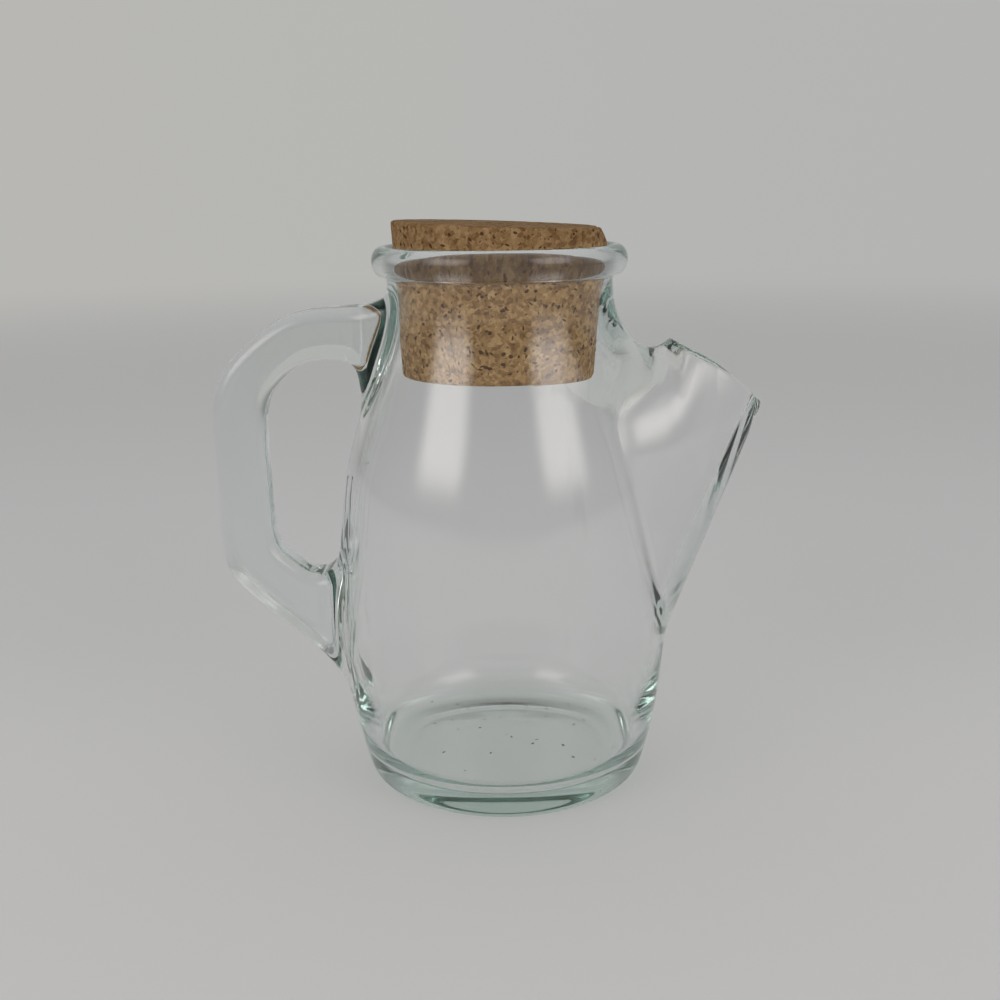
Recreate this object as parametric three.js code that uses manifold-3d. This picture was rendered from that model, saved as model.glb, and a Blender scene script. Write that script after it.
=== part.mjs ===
// Glass pitcher with a lathe-turned body, a hollow beak spout, a solid bar handle and a cork stopper.
// Millimetres, +Z up, body axis on Z, the foot stands on z = 0, spout towards +X, handle towards -X.
import * as THREE from 'three';
import { mergeVertices } from 'three/addons/utils/BufferGeometryUtils.js';
import ManifoldModule from 'manifold-3d';

// Driving dimensions of the glass body
const GLASS_HEIGHT = 163;
const RIM_RADIUS = 37.5;
const BEAD_HEIGHT = 8.6;
const NECK_RADIUS = 33.2;
const BELLY_RADIUS = 50.3;
const BELLY_Z = 56;
const SHOULDER_RADIUS = 44.2;
const SHOULDER_Z = 108;
const FOOT_RADIUS = 38.5;
const FOOT_EDGE_RADIUS = 44.4;
const FOOT_EDGE_Z = 7.5;
const WALL = 3.3;
const FLOOR_Z = 7.5;
const FLOOR_RADIUS = 36;
const BODY_SEGMENTS = 72;

// Driving dimensions of the stopper and the bore that takes it
const CORK_BOTTOM_Z = 125.4;
const CORK_BOTTOM_RADIUS = 29.2;
const CORK_SIDE_Z = 168.6;
const CORK_SIDE_RADIUS = 31.45;
const CORK_TOP_LEFT_Z = 170.4;
const CORK_TOP_RIGHT_Z = 167.7;
const CORK_EDGE = 0.9;
const CORK_WORN_EDGE = 2.6;
const FIT_GAP = 0.3;
const BORE_DEPTH = 19;

// Driving dimensions of the spout, whose keel is a straight line in the plane y = 0
const SPOUT_TIP = { x: 78.3, z: 114.8 };
const SPOUT_KEEL_FOOT = { x: 50.8, z: 45.5 };
const SPOUT_LIP = { x: 50.8, z: 134.8 };
const SPOUT_SADDLE = { x: 44.6, z: 132 };
const SPOUT_HALF_WIDTH = 28.6;
const SPOUT_WIDEST_Z = 102;
const SPOUT_KEEL_WALL = 5;
const SPOUT_KEEL_SINK = 12;
const SPOUT_KEEL_POWER = 1.8;
const SPOUT_SIDE_WALL = 4;
const SPOUT_WIDEST_SHARE = 0.42;
const SPOUT_SECTION_POINTS = 40;

// Driving dimensions of the handle bar
const HANDLE_WIDTH = 14;
const HANDLE_CORNER = 4;
const HANDLE_STATIONS = 40;
const CORNER_STEPS = 4;

// Handle stations in the plane y = 0: [outer x, outer z, inner x, inner z, width as a share of HANDLE_WIDTH]
const HANDLE = [
  [-26, 151, -26, 106, 1.6],
  [-35.2, 147.8, -40.4, 114, 1.4],
  [-38.8, 146.5, -42.2, 122.5, 1.16],
  [-43.5, 145.9, -43.9, 128.6, 1.04],
  [-49, 145.6, -48.8, 130, 1],
  [-55, 145.3, -54.5, 130, 1],
  [-61.5, 143.9, -58.8, 129, 1],
  [-68.5, 140.4, -62.5, 126.9, 1],
  [-76, 134.6, -66.3, 123.4, 1],
  [-82.2, 127.8, -69, 119.8, 1],
  [-85.7, 119.6, -70.6, 114.6, 1],
  [-86.7, 110.5, -71.1, 108.6, 1],
  [-86.5, 101.9, -71.2, 102, 1],
  [-86.4, 89.3, -70.8, 89.3, 1],
  [-86.6, 77.5, -70.2, 77.5, 1],
  [-85.6, 69.4, -69.3, 74.2, 1],
  [-82.6, 62.4, -67.2, 71.1, 1],
  [-77.5, 56.9, -64, 68.2, 1],
  [-71.5, 51.4, -60.6, 65.4, 1],
  [-65.5, 46.6, -57, 64.7, 1.04],
  [-60, 41.8, -53.2, 65.8, 1.12],
  [-54.5, 37.3, -50.6, 68.2, 1.3],
  [-49.4, 30.6, -48, 74, 1.6],
  [-40, 24, -40, 80, 1.9],
];

// Points that join two parts overlap them by this much
const EPSILON = 0.001;

const wasm = await ManifoldModule();
wasm.setup();

// Straight-line interpolation between listed [x, value] pairs
function along(table, x) {
  const last = table.length - 1;
  if (x <= table[0][0]) return table[0][1];
  if (x >= table[last][0]) return table[last][1];
  const i = table.findIndex(([knot]) => knot > x);
  const [x0, y0] = table[i - 1];
  const [x1, y1] = table[i];
  return y0 + ((y1 - y0) * (x - x0)) / (x1 - x0);
}

// Smooth interpolation between listed [x, value] pairs
function eased(table, x) {
  const points = table.map(([knot, value]) => new THREE.Vector2(knot, value));
  const stepsPerSpan = 12;
  const samples = new THREE.SplineCurve(points).getPoints(table.length * stepsPerSpan);
  return along(samples.map((p) => [p.x, p.y]), x);
}

// Solid body of a closed geometry
function solid(geometry) {
  const bare = geometry.clone();
  bare.deleteAttribute('normal');
  bare.deleteAttribute('uv');
  const welded = mergeVertices(bare, EPSILON);
  const mesh = new wasm.Mesh({
    numProp: 3,
    vertProperties: new Float32Array(welded.attributes.position.array),
    triVerts: new Uint32Array(welded.index.array),
  });
  mesh.merge();
  return new wasm.Manifold(mesh);
}

// Geometry of a solid body
function geometryOf(body) {
  const mesh = body.getMesh();
  const geometry = new THREE.BufferGeometry();
  geometry.setAttribute('position', new THREE.BufferAttribute(new Float32Array(mesh.vertProperties), 3));
  geometry.setIndex(new THREE.BufferAttribute(new Uint32Array(mesh.triVerts), 1));
  geometry.computeVertexNormals();
  return geometry;
}

// Solid of revolution about Z from a profile of [radius, z] points that starts and ends on the axis
function turned(profile, segments) {
  const points = profile.map(([r, z]) => new THREE.Vector2(r, z));
  return solid(new THREE.LatheGeometry(points, segments).rotateX(Math.PI / 2));
}

// Closed solid through rings that all have the same number of points
function lofted(rings) {
  const count = rings[0].length;
  const positions = rings.flat().flatMap((p) => [p.x, p.y, p.z]);
  const index = [];
  for (let k = 0; k + 1 < rings.length; k += 1) {
    for (let i = 0; i < count; i += 1) {
      const a = k * count + i;
      const b = k * count + ((i + 1) % count);
      index.push(a, b, b + count, a, b + count, a + count);
    }
  }
  const end = (rings.length - 1) * count;
  for (let i = 1; i + 1 < count; i += 1) {
    index.push(0, i + 1, i);
    index.push(end, end + i, end + i + 1);
  }
  const geometry = new THREE.BufferGeometry();
  geometry.setAttribute('position', new THREE.Float32BufferAttribute(positions, 3));
  geometry.setIndex(index);
  return solid(geometry);
}

// Outside of the body from the foot to the top of the rim bead
function outerProfile() {
  const steps = 17;
  const wall = new THREE.SplineCurve([
    [FOOT_RADIUS + 4.5, 3],
    [FOOT_EDGE_RADIUS, FOOT_EDGE_Z],
    [FOOT_EDGE_RADIUS + 2.4, 18],
    [BELLY_RADIUS - 1.3, 33],
    [BELLY_RADIUS - 0.1, 46],
    [BELLY_RADIUS, BELLY_Z],
    [BELLY_RADIUS - 0.6, 72],
    [BELLY_RADIUS - 2, 88],
    [SHOULDER_RADIUS + 2.5, 98.5],
    [SHOULDER_RADIUS, SHOULDER_Z],
    [SHOULDER_RADIUS - 3.4, 118],
    [NECK_RADIUS + 4.5, 128],
    [NECK_RADIUS + 1.8, 136.5],
    [NECK_RADIUS + 0.5, 143.5],
    [NECK_RADIUS, 149],
    [NECK_RADIUS + 0.1, GLASS_HEIGHT - BEAD_HEIGHT],
  ].map(([r, z]) => new THREE.Vector2(r, z))).getPoints(steps);
  const foot = [[0, 0], [FOOT_RADIUS, 0], [FOOT_RADIUS + 2.4, 0.8]];
  return [...foot, ...wall.map((p) => [p.x, p.y]), ...beadProfile()];
}

// Rounded outside of the rim bead, from its lower edge over its crown to the bore
function beadProfile() {
  const bore = CORK_SIDE_RADIUS + FIT_GAP;
  const middle = (RIM_RADIUS + bore) / 2;
  const halfWidth = (RIM_RADIUS - bore) / 2;
  const halfHeight = BEAD_HEIGHT / 2;
  const centreZ = GLASS_HEIGHT - halfHeight;
  const start = THREE.MathUtils.degToRad(-69);
  const end = THREE.MathUtils.degToRad(90);
  const steps = 7;
  const points = [];
  for (let i = 0; i <= steps; i += 1) {
    const angle = start + (i / steps) * (end - start);
    points.push([middle + halfWidth * Math.cos(angle), centreZ + halfHeight * Math.sin(angle)]);
  }
  points.push([0, GLASS_HEIGHT]);
  return points;
}

// Inside of the body: thick floor, rounded corner, even wall, bore that follows the stopper's taper
function innerProfile() {
  const steps = 12;
  const wall = new THREE.SplineCurve([
    [FLOOR_RADIUS + 4.3, FLOOR_Z + 4.2],
    [FLOOR_RADIUS + 7.4, 22],
    [BELLY_RADIUS - WALL - 1.2, 34],
    [BELLY_RADIUS - WALL - 0.1, 47],
    [BELLY_RADIUS - WALL, BELLY_Z],
    [BELLY_RADIUS - WALL - 0.6, 72],
    [BELLY_RADIUS - WALL - 2.1, 88],
    [SHOULDER_RADIUS - WALL + 2.3, 98.5],
    [SHOULDER_RADIUS - WALL - 0.3, SHOULDER_Z],
    [SHOULDER_RADIUS - WALL - 3.8, 118],
    [NECK_RADIUS - WALL + 4.1, 128],
    [NECK_RADIUS - WALL + 1.5, 136.5],
    [boreRadius(GLASS_HEIGHT - BORE_DEPTH), GLASS_HEIGHT - BORE_DEPTH],
  ].map(([r, z]) => new THREE.Vector2(r, z))).getPoints(steps);
  const top = boreRadius(GLASS_HEIGHT);
  const flare = 1.6;
  const above = GLASS_HEIGHT + 1;
  return [
    [0, FLOOR_Z],
    [FLOOR_RADIUS, FLOOR_Z],
    [FLOOR_RADIUS + 2.6, FLOOR_Z + 1.1],
    ...wall.map((p) => [p.x, p.y]),
    [top - 0.1, GLASS_HEIGHT - flare],
    [top + 0.4, GLASS_HEIGHT - flare / 3],
    [top + flare, GLASS_HEIGHT + EPSILON],
    [top + flare, above],
    [0, above],
  ];
}

// Radius of the stopper at a height
function corkRadius(z) {
  const taper = (CORK_SIDE_RADIUS - CORK_BOTTOM_RADIUS) / (CORK_SIDE_Z - CORK_BOTTOM_Z);
  return CORK_BOTTOM_RADIUS + taper * (z - CORK_BOTTOM_Z);
}

// Radius of the bore at a height
function boreRadius(z) {
  return corkRadius(z) + FIT_GAP;
}

// Height of the keel under a station of the spout, held level once it has run into the body
function keelZ(x) {
  const rise = (SPOUT_TIP.z - SPOUT_KEEL_FOOT.z) / (SPOUT_TIP.x - SPOUT_KEEL_FOOT.x);
  return Math.max(SPOUT_KEEL_FOOT.z + rise * (x - SPOUT_KEEL_FOOT.x), SPOUT_KEEL_FOOT.z - SPOUT_KEEL_SINK);
}

// Height of the ridge over a station, with the saddle behind the back lip of the mouth
const RIDGE = [
  [20, 158], [30, 146], [34, 141.3], [38, 137], [41.7, 133.4], [SPOUT_SADDLE.x, SPOUT_SADDLE.z],
  [48.1, 133], [SPOUT_LIP.x, SPOUT_LIP.z], [54, 136.5], [60, 137], [SPOUT_TIP.x + 2, 137],
];

// Height of the underside of the ridge over a station, which opens into the mouth
const INNER_RIDGE = [
  [8, 127], [34, 127.6], [45, 129.4], [51, 131.2], [52.5, 133.2], [54, 136.5], [56, 140], [SPOUT_TIP.x, 150],
];

// Half width of the spout over a station
const HALF_WIDTH = [
  [8, SPOUT_HALF_WIDTH + 0.4], [30, SPOUT_HALF_WIDTH + 0.4], [36, SPOUT_HALF_WIDTH], [42, 27], [48, 24],
  [54, 20], [60, 15.8], [66, 11.6], [72, 7.4], [75.5, 4.8], [77.4, 3.2], [SPOUT_TIP.x, 1.2],
];

// Slope of the mouth, a plane seen edge-on that falls outwards and bends down at the tip
const MOUTH = [
  [46, 137.2], [SPOUT_LIP.x, SPOUT_LIP.z], [57.7, 130.9], [65.3, 126.6], [69.3, 123.5], [74.6, 118.8],
  [77.7, 116.1], [SPOUT_TIP.x + 3, 112.5],
];

// Height at which a station of the spout is widest
function widestZ(x) {
  const keel = keelZ(x);
  return Math.max(SPOUT_WIDEST_Z, keel + SPOUT_WIDEST_SHARE * (eased(RIDGE, x) - keel));
}

// How peaked the arch is over a station: a ridge at the neck, round at the lip
function archPower(x) {
  return along([[34, 1.35], [50, 2]], x);
}

// Ring of a spout section: a rounded keel below, an arch above
function spoutRing(x, low, high, halfWidth) {
  const wide = widestZ(x);
  const ring = [];
  for (let i = 0; i < SPOUT_SECTION_POINTS; i += 1) {
    const angle = (i / SPOUT_SECTION_POINTS) * 2 * Math.PI;
    const up = Math.sin(angle) >= 0;
    const power = 2 / (up ? archPower(x) : SPOUT_KEEL_POWER);
    const across = Math.sign(Math.cos(angle)) * Math.abs(Math.cos(angle)) ** power;
    const rise = Math.abs(Math.sin(angle)) ** power * (up ? high - wide : low - wide);
    ring.push(new THREE.Vector3(x, halfWidth * across, wide + rise));
  }
  return ring;
}

// Stations of the spout, closer together at the lip and towards the tip
const SHELL_STATIONS = [
  26, 32, 36, 39, 42, 44.6, 47, 49, 51, 53, 56, 59, 62, 65, 68, 71, 73.5, 75.5, 77.2, SPOUT_TIP.x,
];
const BORE_STATIONS = [
  12, 24, 34, 41, 46, 49, 51, 52.5, 54, 56, 58, 61, 64, 67, 70, 72, SPOUT_TIP.x - SPOUT_KEEL_WALL,
];

// Outside of the spout up to its uncut ridge
function spoutShell() {
  return lofted(SHELL_STATIONS.map((x) => (
    spoutRing(x, keelZ(x), eased(RIDGE, x), eased(HALF_WIDTH, x))
  )));
}

// Inside of the spout, open upwards outside the back lip
function spoutBore() {
  const narrowest = 0.6;
  return lofted(BORE_STATIONS.map((x) => {
    const halfWidth = Math.max(eased(HALF_WIDTH, x) - SPOUT_SIDE_WALL, narrowest);
    return spoutRing(x, keelZ(x + SPOUT_KEEL_WALL), along(INNER_RIDGE, x), halfWidth);
  }));
}

// Everything above the mouth of the spout
function aboveMouth() {
  const top = GLASS_HEIGHT + 12;
  const right = SPOUT_TIP.x + 8;
  const depth = 80;
  const shape = new THREE.Shape(MOUTH.map(([x, z]) => new THREE.Vector2(x, z)));
  shape.lineTo(right, MOUTH[MOUTH.length - 1][1]);
  shape.lineTo(right, top);
  shape.lineTo(MOUTH[0][0], top);
  const block = new THREE.ExtrudeGeometry(shape, { depth, bevelEnabled: false });
  return solid(block.rotateX(Math.PI / 2).translate(0, depth / 2, 0));
}

// Outline of a rounded rectangle, [along the bar's thickness, along Y]
function roundedSection(thickness, width, corner) {
  const outline = [];
  const corners = [[1, 1, 0], [-1, 1, 1], [-1, -1, 2], [1, -1, 3]];
  corners.forEach(([sx, sy, quarter]) => {
    for (let i = 0; i <= CORNER_STEPS; i += 1) {
      const angle = (quarter + i / CORNER_STEPS) * (Math.PI / 2);
      outline.push([
        sx * (thickness / 2 - corner) + corner * Math.cos(angle),
        sy * (width / 2 - corner) + corner * Math.sin(angle),
      ]);
    }
  });
  return outline;
}

// Solid bar of the handle, swept between its outer and its inner edge
function handleBar() {
  const edge = (i) => new THREE.CatmullRomCurve3(HANDLE.map((s) => new THREE.Vector3(s[i], 0, s[i + 1])));
  const outer = edge(0);
  const inner = edge(2);
  const widths = HANDLE.map((s, i) => [i / (HANDLE.length - 1), s[4]]);
  const rings = [];
  for (let k = 0; k <= HANDLE_STATIONS; k += 1) {
    const share = k / HANDLE_STATIONS;
    const from = inner.getPoint(share);
    const to = outer.getPoint(share);
    const centre = from.clone().add(to).multiplyScalar(0.5);
    const thickness = from.distanceTo(to);
    const across = to.sub(from).normalize();
    const section = roundedSection(thickness, HANDLE_WIDTH * along(widths, share), HANDLE_CORNER);
    rings.push(section.map(([u, v]) => centre.clone().addScaledVector(across, u).setY(v)));
  }
  return lofted(rings);
}

// Glass: body, spout and handle fused, hollow inside, mouth cut open
function buildPitcher() {
  const shell = turned(outerProfile(), BODY_SEGMENTS);
  const spout = spoutShell().subtract(aboveMouth());
  const hollow = turned(innerProfile(), BODY_SEGMENTS).add(spoutBore());
  return shell.add(spout).add(handleBar()).subtract(hollow);
}

// Cork: tapered plug, top cut at a slant and worn down on the spout side
function buildCork() {
  const segments = 64;
  const plug = turned([
    [0, CORK_BOTTOM_Z],
    [CORK_BOTTOM_RADIUS - CORK_EDGE, CORK_BOTTOM_Z],
    [CORK_BOTTOM_RADIUS, CORK_BOTTOM_Z + CORK_EDGE],
    [CORK_SIDE_RADIUS, CORK_SIDE_Z],
    [CORK_SIDE_RADIUS - CORK_EDGE, CORK_TOP_LEFT_Z],
    [0, CORK_TOP_LEFT_Z],
  ], segments);
  return plug.subtract(corkCut());
}

// Block above the slanted top of the cork and its worn right-hand edge
function corkCut() {
  const reach = CORK_SIDE_RADIUS + 6;
  const above = CORK_TOP_LEFT_Z + 10;
  const wornSlope = -1.34;
  const slope = (CORK_TOP_RIGHT_Z - CORK_TOP_LEFT_Z) / (2 * CORK_SIDE_RADIUS);
  const height = (x) => CORK_TOP_LEFT_Z + slope * (x + CORK_SIDE_RADIUS);
  const worn = CORK_SIDE_RADIUS - CORK_WORN_EDGE;
  const shape = new THREE.Shape();
  shape.moveTo(-reach, height(-reach));
  shape.lineTo(worn, height(worn));
  shape.lineTo(reach, height(worn) + wornSlope * (reach - worn));
  shape.lineTo(reach, above);
  shape.lineTo(-reach, above);
  const depth = 2 * reach;
  const block = new THREE.ExtrudeGeometry(shape, { depth, bevelEnabled: false });
  return solid(block.rotateX(Math.PI / 2).translate(0, depth / 2, 0));
}

// Finishes
const glass = new THREE.MeshStandardMaterial({
  name: 'glass', color: 0xb9c8c0, roughness: 0.05, metalness: 0, transparent: true, opacity: 0.55,
});
const cork = new THREE.MeshStandardMaterial({ name: 'cork', color: 0xa88a62, roughness: 0.9, metalness: 0 });

// Named mesh of a solid body
function named(name, body, material) {
  const mesh = new THREE.Mesh(geometryOf(body), material);
  mesh.name = name;
  return mesh;
}

const part = new THREE.Group();
part.name = 'glass_pitcher';
part.add(named('pitcher', buildPitcher(), glass));
part.add(named('stopper', buildCork(), cork));

export default part;
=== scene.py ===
"""Looks for a glass pitcher with a beak spout, a solid bar handle and a cork stopper.

The glass is one closed surface: a signed field of the body, spout, handle and hollow is meshed and
then pressed onto the exact surface, so that reflections run smoothly over every joint. The cork is a
turned plug with a worn edge, pits and bark chips, and a few crumbs of it lie on the glass floor.
Lengths are millimetres until a mesh is written, unless a comment or a name gives another unit.
"""

import logging
import math
from abc import ABC, abstractmethod
from collections.abc import Callable
from dataclasses import dataclass, field
from enum import Enum

import bpy
import numpy as np
from mathutils import Matrix, Vector


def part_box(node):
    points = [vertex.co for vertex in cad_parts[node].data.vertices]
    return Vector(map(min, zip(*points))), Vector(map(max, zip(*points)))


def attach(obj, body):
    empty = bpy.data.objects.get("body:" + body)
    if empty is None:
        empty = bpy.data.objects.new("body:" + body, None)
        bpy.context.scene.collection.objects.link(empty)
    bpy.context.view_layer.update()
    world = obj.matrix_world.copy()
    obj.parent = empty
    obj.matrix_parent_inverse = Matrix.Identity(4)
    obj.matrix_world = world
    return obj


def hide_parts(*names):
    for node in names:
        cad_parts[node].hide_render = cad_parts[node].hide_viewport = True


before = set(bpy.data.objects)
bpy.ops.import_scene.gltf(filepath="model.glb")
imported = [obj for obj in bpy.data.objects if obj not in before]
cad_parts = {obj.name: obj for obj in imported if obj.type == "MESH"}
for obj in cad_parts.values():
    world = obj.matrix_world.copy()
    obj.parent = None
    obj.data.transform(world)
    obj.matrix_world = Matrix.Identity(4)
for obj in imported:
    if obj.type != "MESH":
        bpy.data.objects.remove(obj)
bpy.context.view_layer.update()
MM = 0.001
FAR = 40.0  # wider than any fillet
TINY = 1e-9  # keeps a division off zero
LOG = logging.getLogger("pitcher")
Array = np.ndarray
Colour = tuple[float, float, float, float]
Tree = bpy.types.NodeTree
Socket = bpy.types.NodeSocket


# Small helpers

def linear(hex_colour: str) -> Colour:
    """Turn an sRGB hex colour into linear RGBA.

    Args:
        hex_colour: Six hex digits, such as "b58d5a".

    Returns:
        Linear red, green and blue, and an alpha of 1.
    """
    values = [int(hex_colour[i:i + 2], 16) / 255 for i in (0, 2, 4)]
    toe, slope, offset, power = 0.04045, 12.92, 0.055, 2.4
    rgb = [v / slope if v <= toe else ((v + offset) / (1 + offset)) ** power for v in values]
    return (*rgb, 1.0)


def empty_tree(owner: bpy.types.ID) -> Tree:
    """Give the node tree of a material, world or light, emptied."""
    owner.use_nodes = True
    owner.node_tree.nodes.clear()
    return owner.node_tree


def add_node(tree: Tree, kind: str, links: dict | None = None, **settings: object) -> bpy.types.Node:
    """Add a node with its settings and links.

    Args:
        tree: The node tree that takes the node.
        kind: The node's type name.
        links: Input name or index to an output socket or a plain value.
        **settings: Attributes of the node itself.

    Returns:
        The new node.
    """
    node = tree.nodes.new(kind)
    for name, value in settings.items():
        setattr(node, name, value)
    for name, value in (links or {}).items():
        if isinstance(value, Socket):
            tree.links.new(value, node.inputs[name])
        else:
            node.inputs[name].default_value = value
    return node


def arithmetic(tree: Tree, operation: str, *values: Socket | float) -> Socket:
    """Add a step of arithmetic.

    Args:
        tree: The node tree that takes the node.
        operation: The node's name for the step, such as "SUBTRACT".
        *values: Sockets or plain numbers, in the order of the node's inputs.

    Returns:
        The result's socket.
    """
    return add_node(tree, "ShaderNodeMath", dict(enumerate(values)), operation=operation).outputs["Value"]


def vector_step(tree: Tree, operation: str, *values: Socket | tuple[float, ...]) -> Socket:
    """Add a step of vector arithmetic; the arguments are those of arithmetic."""
    step = add_node(tree, "ShaderNodeVectorMath", dict(enumerate(values)), operation=operation)
    return step.outputs["Vector"]


def soft_step(tree: Tree, value: Socket, span: tuple[float, float],
              ends: tuple[float, float] = (0.0, 1.0)) -> Socket:
    """Add a smooth step over a number.

    Args:
        tree: The node tree that takes the node.
        value: The number's socket.
        span: Where the step starts and where it ends.
        ends: The result before the step and after it.

    Returns:
        The result's socket.
    """
    return add_node(tree, "ShaderNodeMapRange", {
        "Value": value, "From Min": span[0], "From Max": span[1], "To Min": ends[0], "To Max": ends[1],
    }, interpolation_type="SMOOTHSTEP").outputs["Result"]


def mix_colours(tree: Tree, share: Socket | float, first: Socket | Colour, second: Socket | Colour,
                blend: str = "MIX") -> Socket:
    """Add a mix of two colours.

    Args:
        tree: The node tree that takes the node.
        share: How much the second colour counts.
        first: The first colour.
        second: The second colour.
        blend: The node's name for the way of mixing.

    Returns:
        The mixed colour's socket.
    """
    factor, colour_a, colour_b, result = 0, 6, 7, 2  # where the node has them
    return add_node(tree, "ShaderNodeMix", {factor: share, colour_a: first, colour_b: second},
                    data_type="RGBA", blend_type=blend).outputs[result]


def noise(tree: Tree, place: Socket, size_mm: float, detail: float,
          roughness: float = 0.6) -> bpy.types.Node:
    """Add a noise pattern of a real size.

    Args:
        tree: The node tree that takes the node.
        place: Where the pattern is read.
        size_mm: Size of its blotches.
        detail: How many finer layers it has.
        roughness: How strong the finer layers are.

    Returns:
        The noise node.
    """
    return add_node(tree, "ShaderNodeTexNoise", {
        "Vector": place, "Scale": 1 / (size_mm * MM), "Detail": detail, "Roughness": roughness,
    })


def smooth_min(a: Array, b: Array, blend: Array | float) -> Array:
    """Join two fields with a curvature-continuous fillet.

    Args:
        a: First signed field, negative inside.
        b: Second signed field.
        blend: Range over which they melt together, in millimetres.

    Returns:
        The joined field.
    """
    near = np.maximum(blend - np.abs(a - b), 0) / blend
    return np.minimum(a, b) - near ** 3 * blend / 6


def smooth_max(a: Array, b: Array, blend: Array | float) -> Array:
    """Cut one field by another with a rounded edge; the arguments are those of smooth_min."""
    return -smooth_min(-a, -b, blend)


class Line:
    """A natural cubic curve through knots, straight beyond both ends."""

    def __init__(self, knots: list[tuple[float, float]]) -> None:
        """Solve the curve.

        Args:
            knots: (position, value) pairs in rising order of position.
        """
        self.x = np.array([k[0] for k in knots], float)
        self.y = np.array([k[1] for k in knots], float)
        count = len(knots)
        step = np.diff(self.x)
        rise = np.diff(self.y) / step
        system = np.eye(count)
        right = np.zeros(count)
        for i in range(1, count - 1):
            system[i, i - 1:i + 2] = step[i - 1], 2 * (step[i - 1] + step[i]), step[i]
            right[i] = 6 * (rise[i] - rise[i - 1])
        self.bend = np.linalg.solve(system, right)

    def both(self, at: Array) -> tuple[Array, Array]:
        """Give the curve's value and slope.

        Args:
            at: Positions.

        Returns:
            Values and slopes at the positions.
        """
        inside = np.clip(at, self.x[0], self.x[-1])
        i = np.clip(np.searchsorted(self.x, inside, side="right") - 1, 0, len(self.x) - 2)
        step = self.x[i + 1] - self.x[i]
        a = (self.x[i + 1] - inside) / step
        b = 1 - a
        bend_a, bend_b = self.bend[i], self.bend[i + 1]
        value = a * self.y[i] + b * self.y[i + 1]
        value += ((a ** 3 - a) * bend_a + (b ** 3 - b) * bend_b) * step ** 2 / 6
        slope = (self.y[i + 1] - self.y[i]) / step
        slope += ((3 * b ** 2 - 1) * bend_b - (3 * a ** 2 - 1) * bend_a) * step / 6
        return value + slope * (at - inside), slope

    def __call__(self, at: Array) -> Array:
        """Give the curve's value at the positions."""
        return self.both(at)[0]


# Fields of the glass

@dataclass
class BodyForm:
    """The turned body: outside wall, rim bead, foot and hollow."""

    height: float = 163.0
    rim_radius: float = 37.5
    bead_height: float = 8.6
    bead_overlap: float = 0.2
    bead_fillet: float = 2.2
    wall_top: float = 3.0
    bore_top_radius: float = 31.75
    foot_round: float = 6.0
    hollow_depth: float = 1.6
    hollow_radius: float = 35.0
    hollow_edge: float = 0.6
    floor_z: float = 7.5
    floor_round: float = 12.0
    outside: Line = field(default_factory=lambda: Line([
        (-6, 40.2), (0, 42.2), (7.5, 44.4), (18, 46.9), (33, 49.0), (46, 50.1), (58, 50.3), (72, 49.7),
        (88, 48.2), (98.5, 46.7), (108, 44.2), (118, 40.9), (128, 37.7), (136.5, 35.2), (143.5, 33.7),
        (149, 33.2), (160, 33.2), (170, 33.2),
    ]))
    inside: Line = field(default_factory=lambda: Line([
        (0, 37.4), (7.5, 39.9), (14, 41.7), (22, 43.4), (34, 45.7), (47, 46.9), (56, 47.1), (72, 46.4),
        (88, 44.9), (98.5, 43.3), (108, 40.7), (118, 37.3), (128, 34.1), (136.5, 31.5), (144, 30.5),
        (152, 30.9), (161, 31.38), (170, 31.85),
    ]))

    @staticmethod
    def wall(line: Line, radius: Array, z: Array) -> Array:
        """Measure the way to a turned wall.

        Args:
            line: Radius over height.
            radius: Distance of each point from the axis.
            z: Height of each point.

        Returns:
            Signed distance, negative inside the wall.
        """
        value, slope = line.both(z)
        return (radius - value) / np.sqrt(1 + slope ** 2)

    def bead(self, radius: Array, z: Array) -> Array:
        """Measure the way to the oval bead of the rim; the arguments are those of wall."""
        across = (self.rim_radius - self.bore_top_radius) / 2 + self.bead_overlap
        tall = self.bead_height / 2
        u = radius - (self.rim_radius - across)
        v = z - (self.height - tall)
        share = np.sqrt((u / across) ** 2 + (v / tall) ** 2) + TINY
        return share * (share - 1) / (np.sqrt((u / across ** 2) ** 2 + (v / tall ** 2) ** 2) + TINY)

    def outer(self, points: Array) -> Array:
        """Give the field of the body as if it were solid.

        Args:
            points: Rows of x, y and z.

        Returns:
            Signed distances.
        """
        radius, z = np.hypot(points[:, 0], points[:, 1]), points[:, 2]
        under = self.hollow_depth * (1 - (radius / self.hollow_radius) ** 2)
        foot = smooth_max(under - z, -z, self.hollow_edge)
        wall = smooth_max(self.wall(self.outside, radius, z), foot, self.foot_round)
        wall = np.maximum(wall, z - (self.height - self.wall_top))
        return smooth_min(wall, self.bead(radius, z), self.bead_fillet)

    def inner(self, points: Array) -> Array:
        """Give the field of the hollow; the arguments are those of outer."""
        radius, z = np.hypot(points[:, 0], points[:, 1]), points[:, 2]
        return smooth_max(self.wall(self.inside, radius, z), self.floor_z - z, self.floor_round)


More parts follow.
